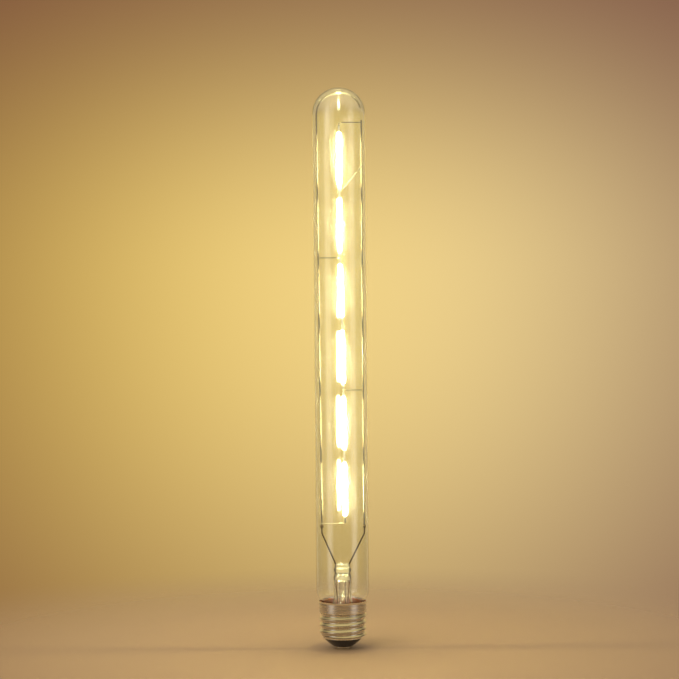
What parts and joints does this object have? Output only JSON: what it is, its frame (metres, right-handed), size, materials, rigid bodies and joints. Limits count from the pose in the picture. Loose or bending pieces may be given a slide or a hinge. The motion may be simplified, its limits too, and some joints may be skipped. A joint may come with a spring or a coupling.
{
  "type": "tubular light bulb",
  "caption": "Clear tubular filament light bulb: a long glass tube with a domed end, glowing filaments strung in a chain between two wires on a glass stem, and a metal screw cap.",
  "frame": {"origin": "on the axis at the outer end of the centre contact", "axes": "+Z along the axis from the cap to the dome, +X towards the right-hand support wire, -Y the front"},
  "size_m": [0.03, 0.03, 0.317],
  "materials": {
    "clear_glass": "clear, polished, slightly wavy",
    "stem_glass": "clear, drawn tube",
    "support_wire": "bright drawn nickel-plated wire",
    "cross_wire": "bright thin nickel wire",
    "filament_strip": "bright stamped strip",
    "filament_coat": "soft glowing silicone, warm white when lit",
    "copper_lead": "bare copper wire",
    "shell_metal": "nickel-plated rolled brass, satin",
    "contact_metal": "plated rivet",
    "black_insulator": "black glass, glossy",
    "cement": "reddish-brown baked cement, matte",
    "liner_plastic": "moulded white",
    "board": "green board",
    "black_moulding": "moulded black",
    "capacitor_sleeve": "shrunk sleeve",
    "resistor_body": "lacquered",
    "lead_insulation": "insulated wire"
  },
  "bodies": {
    "root": {"glass_envelope": "clear_glass", "stem": "stem_glass", "exhaust_tube": "stem_glass", "left_support_wire": "support_wire", "right_support_wire": "support_wire", "left_lead_wire": "support_wire", "right_lead_wire": "support_wire", "top_cross_wire": "cross_wire", "upper_cross_wire": "cross_wire", "middle_cross_wire": "cross_wire", "lower_cross_wire": "cross_wire", "steady_wire": "cross_wire", "filament_1_strip": "filament_strip", "filament_2_strip": "filament_strip", "filament_3_strip": "filament_strip", "filament_4_strip": "filament_strip", "filament_5_strip": "filament_strip", "filament_6_strip": "filament_strip", "filament_1_coat": "filament_coat", "filament_2_coat": "filament_coat", "filament_3_coat": "filament_coat", "filament_4_coat": "filament_coat", "filament_5_coat": "filament_coat", "filament_6_coat": "filament_coat", "left_outer_lead": "copper_lead", "right_outer_lead": "copper_lead", "choke_winding": "copper_lead", "screw_shell": "shell_metal", "centre_contact": "contact_metal", "cap_insulator": "black_insulator", "basing_cement": "cement", "insulating_liner": "liner_plastic", "driver_board": "board", "bridge_rectifier": "black_moulding", "controller_chip": "black_moulding", "choke_core": "black_moulding", "smoothing_capacitor": "capacitor_sleeve", "fusible_resistor": "resistor_body", "live_lead": "lead_insulation", "neutral_lead": "lead_insulation"}
  },
  "joints": []
}
